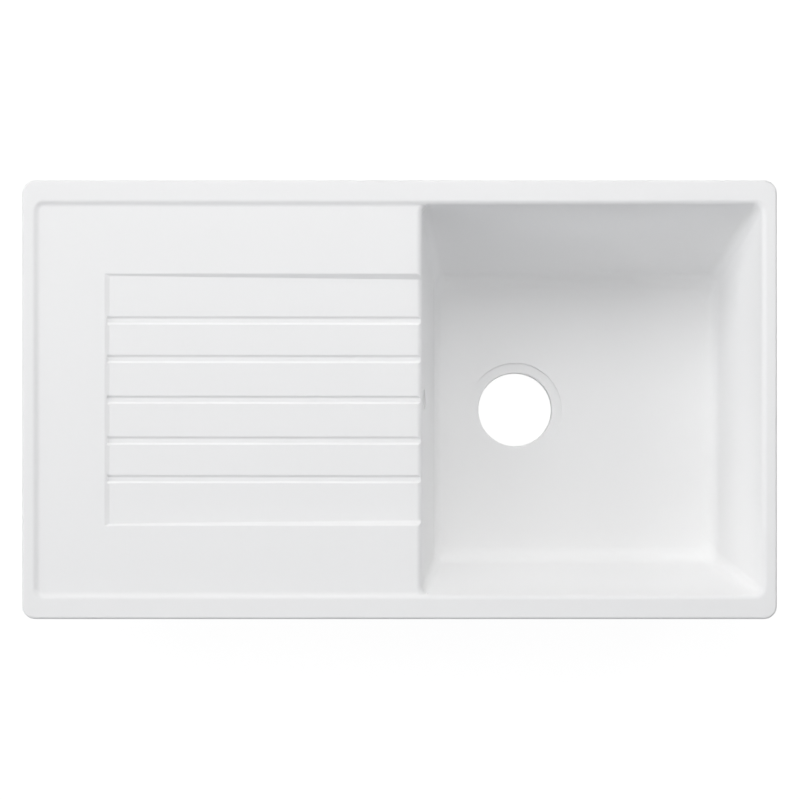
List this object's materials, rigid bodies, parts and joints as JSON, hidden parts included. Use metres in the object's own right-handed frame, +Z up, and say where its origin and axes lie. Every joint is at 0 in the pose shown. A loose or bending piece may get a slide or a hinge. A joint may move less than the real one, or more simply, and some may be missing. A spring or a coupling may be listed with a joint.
{
  "type": "inset kitchen sink",
  "caption": "White composite inset kitchen sink: square bowl with open drain and overflow holes, sloped grooved drainer, flat rim, foam seal and under-rim screw clamps.",
  "frame": {"origin": "middle of the rim outline on the worktop's top face, where the rim seats", "axes": "+X from drainer to bowl, +Y to the back edge, +Z up"},
  "size_m": [0.86, 0.5, 0.209],
  "materials": {
    "sink_moulding": "matt white quartz composite",
    "rim_seal": "closed-cell foam",
    "threaded_inserts": "plain turned brass",
    "clamp_screw": "zinc plated",
    "clamp_washer": "zinc plated",
    "clamp_claw": "pressed, zinc plated"
  },
  "bodies": {
    "sink": {"sink_moulding": "sink_moulding", "rim_seal": "rim_seal", "threaded_inserts": "threaded_inserts"},
    "washer_1": {"clamp_washer_1": "clamp_washer"},
    "screw_1": {"clamp_screw_1": "clamp_screw"},
    "claw_1": {"clamp_claw_1": "clamp_claw"},
    "washer_2": {"clamp_washer_2": "clamp_washer"},
    "screw_2": {"clamp_screw_2": "clamp_screw"},
    "claw_2": {"clamp_claw_2": "clamp_claw"},
    "washer_3": {"clamp_washer_3": "clamp_washer"},
    "screw_3": {"clamp_screw_3": "clamp_screw"},
    "claw_3": {"clamp_claw_3": "clamp_claw"},
    "washer_4": {"clamp_washer_4": "clamp_washer"},
    "screw_4": {"clamp_screw_4": "clamp_screw"},
    "claw_4": {"clamp_claw_4": "clamp_claw"},
    "washer_5": {"clamp_washer_5": "clamp_washer"},
    "screw_5": {"clamp_screw_5": "clamp_screw"},
    "claw_5": {"clamp_claw_5": "clamp_claw"},
    "washer_6": {"clamp_washer_6": "clamp_washer"},
    "screw_6": {"clamp_screw_6": "clamp_screw"},
    "claw_6": {"clamp_claw_6": "clamp_claw"},
    "washer_7": {"clamp_washer_7": "clamp_washer"},
    "screw_7": {"clamp_screw_7": "clamp_screw"},
    "claw_7": {"clamp_claw_7": "clamp_claw"},
    "washer_8": {"clamp_washer_8": "clamp_washer"},
    "screw_8": {"clamp_screw_8": "clamp_screw"},
    "claw_8": {"clamp_claw_8": "clamp_claw"}
  },
  "joints": [
    {"name": "clamp_lift_1", "type": "slide", "parent": "sink", "child": "washer_1", "axis": [0, 0, 1], "range_m": [0, 0.012]},
    {"name": "screw_turn_1", "type": "hinge", "parent": "washer_1", "child": "screw_1", "pos_m": [-0.3, 0.2323, -0.0513], "axis": [0, 0, 1], "range_deg": [0, 4320.1]},
    {"name": "claw_swing_1", "type": "hinge", "parent": "washer_1", "child": "claw_1", "pos_m": [-0.3, 0.2323, -0.0513], "axis": [0, 0, 1], "range_deg": [0, 90]},
    {"name": "clamp_lift_2", "type": "slide", "parent": "sink", "child": "washer_2", "axis": [0, 0, 1], "range_m": [0, 0.012]},
    {"name": "screw_turn_2", "type": "hinge", "parent": "washer_2", "child": "screw_2", "pos_m": [-0.04, 0.2323, -0.0513], "axis": [0, 0, 1], "range_deg": [0, 4320.1]},
    {"name": "claw_swing_2", "type": "hinge", "parent": "washer_2", "child": "claw_2", "pos_m": [-0.04, 0.2323, -0.0513], "axis": [0, 0, 1], "range_deg": [0, 90]},
    {"name": "clamp_lift_3", "type": "slide", "parent": "sink", "child": "washer_3", "axis": [0, 0, 1], "range_m": [0, 0.012]},
    {"name": "screw_turn_3", "type": "hinge", "parent": "washer_3", "child": "screw_3", "pos_m": [0.3, 0.2323, -0.0513], "axis": [0, 0, 1], "range_deg": [0, 4320.1]},
    {"name": "claw_swing_3", "type": "hinge", "parent": "washer_3", "child": "claw_3", "pos_m": [0.3, 0.2323, -0.0513], "axis": [0, 0, 1], "range_deg": [0, 90]},
    {"name": "clamp_lift_4", "type": "slide", "parent": "sink", "child": "washer_4", "axis": [0, 0, 1], "range_m": [0, 0.012]},
    {"name": "screw_turn_4", "type": "hinge", "parent": "washer_4", "child": "screw_4", "pos_m": [-0.3, -0.2323, -0.0513], "axis": [0, 0, 1], "range_deg": [0, 4320.1]},
    {"name": "claw_swing_4", "type": "hinge", "parent": "washer_4", "child": "claw_4", "pos_m": [-0.3, -0.2323, -0.0513], "axis": [0, 0, 1], "range_deg": [0, 90]},
    {"name": "clamp_lift_5", "type": "slide", "parent": "sink", "child": "washer_5", "axis": [0, 0, 1], "range_m": [0, 0.012]},
    {"name": "screw_turn_5", "type": "hinge", "parent": "washer_5", "child": "screw_5", "pos_m": [-0.04, -0.2323, -0.0513], "axis": [0, 0, 1], "range_deg": [0, 4320.1]},
    {"name": "claw_swing_5", "type": "hinge", "parent": "washer_5", "child": "claw_5", "pos_m": [-0.04, -0.2323, -0.0513], "axis": [0, 0, 1], "range_deg": [0, 90]},
    {"name": "clamp_lift_6", "type": "slide", "parent": "sink", "child": "washer_6", "axis": [0, 0, 1], "range_m": [0, 0.012]},
    {"name": "screw_turn_6", "type": "hinge", "parent": "washer_6", "child": "screw_6", "pos_m": [0.3, -0.2323, -0.0513], "axis": [0, 0, 1], "range_deg": [0, 4320.1]},
    {"name": "claw_swing_6", "type": "hinge", "parent": "washer_6", "child": "claw_6", "pos_m": [0.3, -0.2323, -0.0513], "axis": [0, 0, 1], "range_deg": [0, 90]},
    {"name": "clamp_lift_7", "type": "slide", "parent": "sink", "child": "washer_7", "axis": [0, 0, 1], "range_m": [0, 0.012]},
    {"name": "screw_turn_7", "type": "hinge", "parent": "washer_7", "child": "screw_7", "pos_m": [-0.4123, 0.13, -0.0513], "axis": [0, 0, 1], "range_deg": [0, 4320.1]},
    {"name": "claw_swing_7", "type": "hinge", "parent": "washer_7", "child": "claw_7", "pos_m": [-0.4123, 0.13, -0.0513], "axis": [0, 0, 1], "range_deg": [0, 90]},
    {"name": "clamp_lift_8", "type": "slide", "parent": "sink", "child": "washer_8", "axis": [0, 0, 1], "range_m": [0, 0.012]},
    {"name": "screw_turn_8", "type": "hinge", "parent": "washer_8", "child": "screw_8", "pos_m": [-0.4123, -0.13, -0.0513], "axis": [0, 0, 1], "range_deg": [0, 4320.1]},
    {"name": "claw_swing_8", "type": "hinge", "parent": "washer_8", "child": "claw_8", "pos_m": [-0.4123, -0.13, -0.0513], "axis": [0, 0, 1], "range_deg": [0, 90]}
  ],
  "couplings": [
    {"joint": "screw_turn_1", "follows": "clamp_lift_1", "rad_per_m": 6283.2},
    {"joint": "screw_turn_2", "follows": "clamp_lift_2", "rad_per_m": 6283.2},
    {"joint": "screw_turn_3", "follows": "clamp_lift_3", "rad_per_m": 6283.2},
    {"joint": "screw_turn_4", "follows": "clamp_lift_4", "rad_per_m": 6283.2},
    {"joint": "screw_turn_5", "follows": "clamp_lift_5", "rad_per_m": 6283.2},
    {"joint": "screw_turn_6", "follows": "clamp_lift_6", "rad_per_m": 6283.2},
    {"joint": "screw_turn_7", "follows": "clamp_lift_7", "rad_per_m": 6283.2},
    {"joint": "screw_turn_8", "follows": "clamp_lift_8", "rad_per_m": 6283.2}
  ]
}
